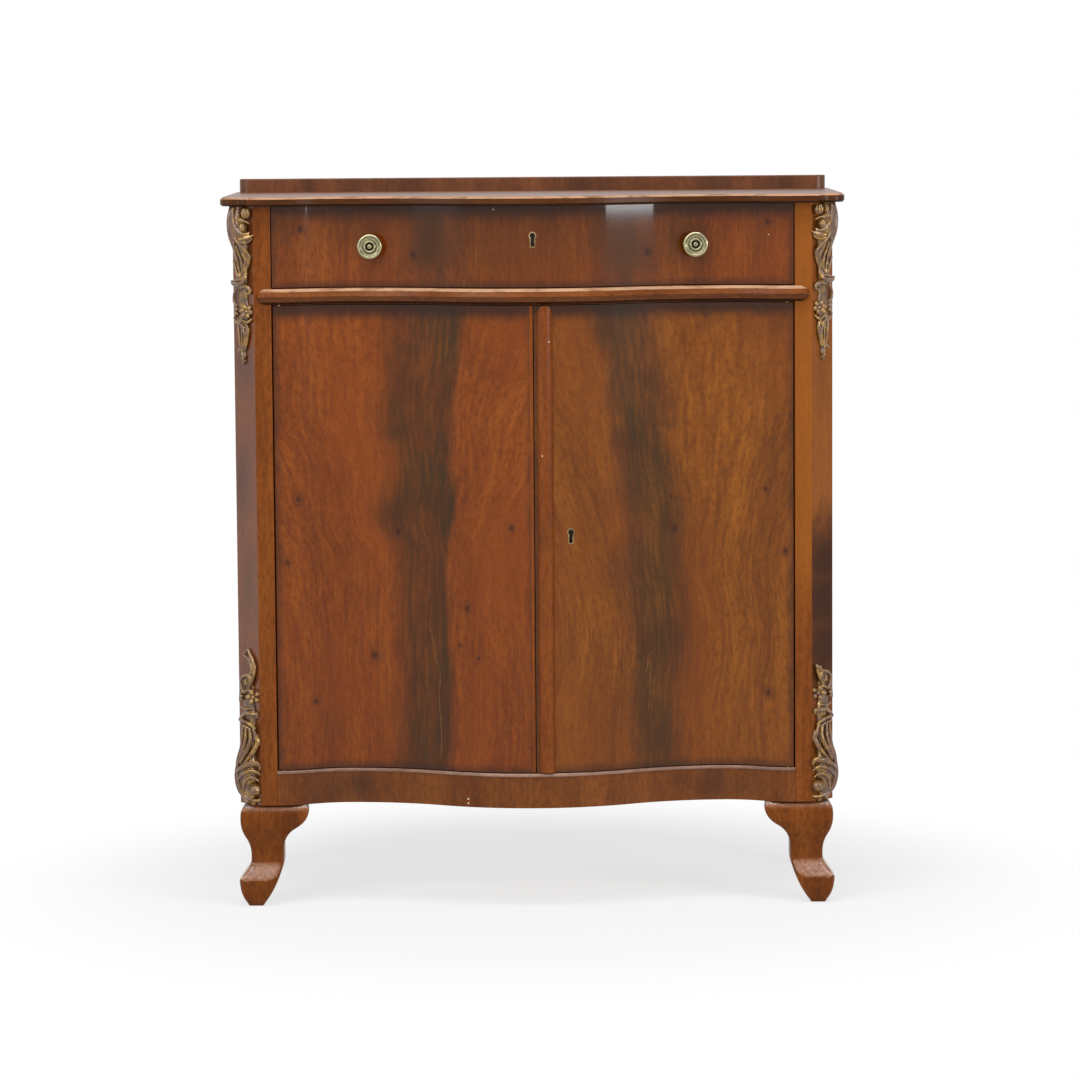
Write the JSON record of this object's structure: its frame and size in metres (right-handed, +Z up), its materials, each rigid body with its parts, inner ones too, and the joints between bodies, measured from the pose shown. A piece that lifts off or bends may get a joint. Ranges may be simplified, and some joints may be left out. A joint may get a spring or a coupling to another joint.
{
  "type": "chiffonier",
  "caption": "Serpentine-front mahogany chiffonier: a drawer with round knobs over a pair of doors, canted corners with carved consoles, moulded top with low gallery, cabriole front feet.",
  "frame": {"origin": "on the floor, under the middle of the bounding box of the closed piece", "axes": "+X to the right seen from the front, +Y to the back, +Z up; the doors and drawer face -Y"},
  "size_m": [1, 0.46, 1.171],
  "materials": {
    "mahogany_top": "french polished mahogany, worn along the nose",
    "mahogany_veneer": "book-matched mahogany veneer with a dark central flame, french polished",
    "mahogany_moulding": "solid mahogany moulding, polished, rubbed lighter on the crown",
    "mahogany_carcase": "mahogany, french polished",
    "mahogany_sides": "mahogany veneered sides, polished",
    "mahogany_feet": "solid mahogany, carved and polished",
    "stained_softwood": "softwood stained dark",
    "bronzed_carving": "carved wood with worn bronze gilding over a dark ground",
    "back_softwood": "unfinished pine, darkened with age",
    "drawer_softwood": "planed pine, waxed",
    "inner_softwood": "planed pine",
    "antique_brass": "antiqued brass with dark patina in the grooves",
    "escutcheon_brass": "dull brass",
    "lock_steel": "dull steel, lightly rusted",
    "fittings_brass": "dull brass"
  },
  "bodies": {
    "carcase": {"top_board": "mahogany_top", "gallery_rail": "mahogany_top", "front_top_rail": "inner_softwood", "mid_rail": "mahogany_carcase", "mid_rail_moulding": "mahogany_moulding", "dust_board": "inner_softwood", "drawer_stops": "inner_softwood", "bottom_rail": "mahogany_carcase", "bottom_rail_bead": "mahogany_moulding", "bottom_board": "inner_softwood", "upper_shelf": "inner_softwood", "lower_shelf": "inner_softwood", "foot_blocks": "inner_softwood", "back_board_left": "back_softwood", "back_board_middle": "back_softwood", "back_board_right": "back_softwood", "left_side_panel": "mahogany_sides", "left_front_post": "mahogany_carcase", "left_drawer_runner": "inner_softwood", "left_drawer_kicker": "inner_softwood", "left_shelf_cleats": "inner_softwood", "left_front_foot": "mahogany_feet", "left_rear_foot": "stained_softwood", "upper_left_console": "bronzed_carving", "lower_left_console": "bronzed_carving", "right_side_panel": "mahogany_sides", "right_front_post": "mahogany_carcase", "right_drawer_runner": "inner_softwood", "right_drawer_kicker": "inner_softwood", "right_shelf_cleats": "inner_softwood", "right_front_foot": "mahogany_feet", "right_rear_foot": "stained_softwood", "upper_right_console": "bronzed_carving", "lower_right_console": "bronzed_carving", "left_frame_hinge_leaves": "fittings_brass", "right_frame_hinge_leaves": "fittings_brass"},
    "drawer": {"drawer_front": "mahogany_veneer", "drawer_left_side": "drawer_softwood", "drawer_right_side": "drawer_softwood", "drawer_back": "drawer_softwood", "drawer_bottom": "drawer_softwood", "left_drawer_knob": "antique_brass", "right_drawer_knob": "antique_brass", "drawer_knob_nuts": "fittings_brass", "drawer_lock_case": "lock_steel", "drawer_keyhole_escutcheon": "escutcheon_brass"},
    "drawer_lock_bolt": {"drawer_lock_bolt": "lock_steel"},
    "left_door": {"left_door": "mahogany_veneer", "left_door_lipping": "mahogany_moulding", "left_door_hinge_leaves": "fittings_brass", "left_door_bolt_plate": "fittings_brass", "door_strike_plate": "lock_steel"},
    "left_door_bolt": {"left_door_bolt": "fittings_brass"},
    "right_door": {"right_door": "mahogany_veneer", "door_astragal": "mahogany_moulding", "right_door_hinge_leaves": "fittings_brass", "door_lock_case": "lock_steel", "door_keyhole_escutcheon": "escutcheon_brass"},
    "door_lock_bolt": {"door_lock_bolt": "lock_steel"}
  },
  "joints": [
    {"name": "drawer_slide", "type": "slide", "parent": "carcase", "child": "drawer", "axis": [0, -1, 0], "range_m": [0, 0.27]},
    {"name": "left_door_hinge", "type": "hinge", "parent": "carcase", "child": "left_door", "pos_m": [-0.4075, -0.153, 0.6], "axis": [0, 0, -1], "range_deg": [0, 105]},
    {"name": "right_door_hinge", "type": "hinge", "parent": "carcase", "child": "right_door", "pos_m": [0.4075, -0.153, 0.6], "axis": [0, 0, 1], "range_deg": [0, 105]},
    {"name": "drawer_lock_throw", "type": "slide", "parent": "drawer", "child": "drawer_lock_bolt", "axis": [0, 0, 1], "range_m": [0, 0.009]},
    {"name": "door_lock_throw", "type": "slide", "parent": "right_door", "child": "door_lock_bolt", "axis": [-1, 0, 0], "range_m": [0, 0.009]},
    {"name": "left_door_bolt_slide", "type": "slide", "parent": "left_door", "child": "left_door_bolt", "axis": [0, 0, 1], "range_m": [0, 0.012]}
  ]
}
